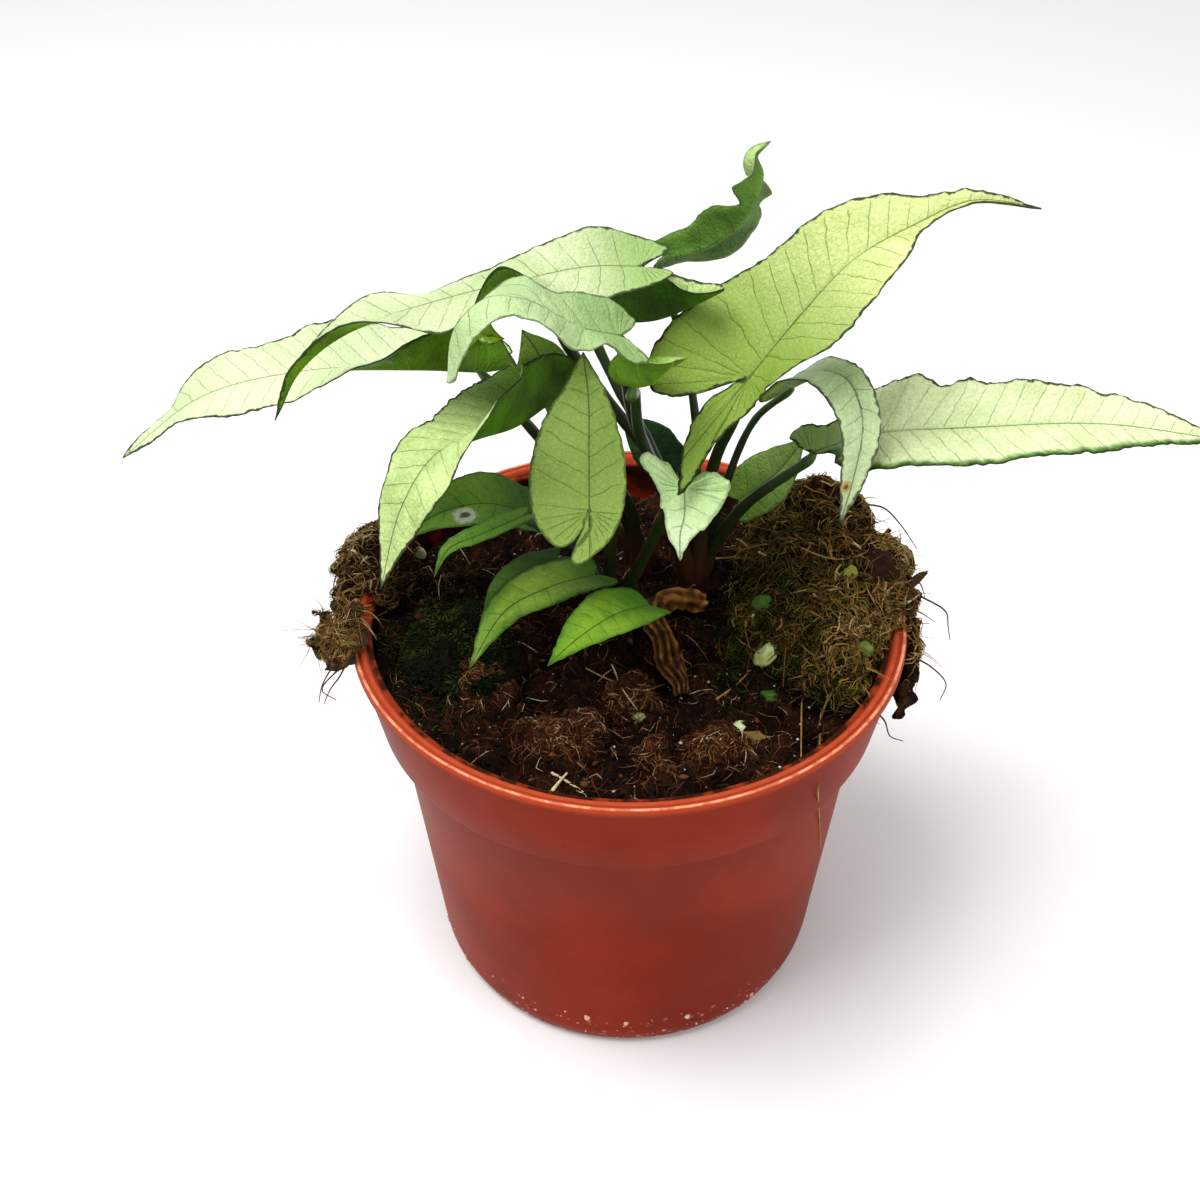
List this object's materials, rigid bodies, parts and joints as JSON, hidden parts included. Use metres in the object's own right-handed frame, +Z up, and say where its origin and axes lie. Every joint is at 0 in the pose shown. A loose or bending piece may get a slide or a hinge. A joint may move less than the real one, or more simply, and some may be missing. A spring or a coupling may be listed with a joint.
{
  "type": "arrowhead plant",
  "caption": "House plant with pale, narrow, waved arrowhead leaves on thin petioles, in peat with root mats, in a round nursery pot.",
  "frame": {"origin": "middle of the pot's flat underside", "axes": "+Z up along the pot's axis; +X to the right and +Y away from the viewer, as the plant is seen from its front"},
  "size_m": [0.217, 0.12, 0.193],
  "materials": {
    "pot": "moulded terracotta-coloured plastic, slightly glossy",
    "soil": "damp dark peat",
    "roots": "matted roots and peat",
    "moss": "dark green moss",
    "dried_sheath": "dry and papery",
    "stems": "smooth and slightly glossy",
    "leaf_pale": "satin, finely veined",
    "leaf_green": "satin, finely veined",
    "leaf_olive": "satin, finely veined",
    "leaf_fresh": "satin, finely veined",
    "leaf_dark": "satin, finely veined"
  },
  "bodies": {
    "root": {"pot": "pot", "soil": "soil", "root_mat_right": "roots", "root_clump_left": "roots", "root_scrap_left": "roots", "moss_left": "moss", "dried_sheath": "dried_sheath", "stems_right": "stems", "stems_left": "stems", "stems_front": "stems", "leaf_far_left": "leaf_pale", "leaf_top": "leaf_pale", "leaf_under_top": "leaf_olive", "leaf_front_top": "leaf_pale", "leaf_back_small": "leaf_green", "leaf_middle_right": "leaf_olive", "leaf_left_arched": "leaf_pale", "leaf_front_upright": "leaf_green", "leaf_low_left": "leaf_dark", "leaf_low_left_narrow": "leaf_olive", "leaf_front_left": "leaf_fresh", "leaf_front_left_narrow": "leaf_dark", "leaf_front_low": "leaf_fresh", "leaf_centre_young": "leaf_pale", "leaf_right_large": "leaf_pale", "leaf_right_hanging": "leaf_green", "leaf_far_right": "leaf_pale", "leaf_right_low": "leaf_olive", "leaf_top_young": "leaf_olive", "leaf_back_dark": "leaf_dark"}
  },
  "joints": []
}
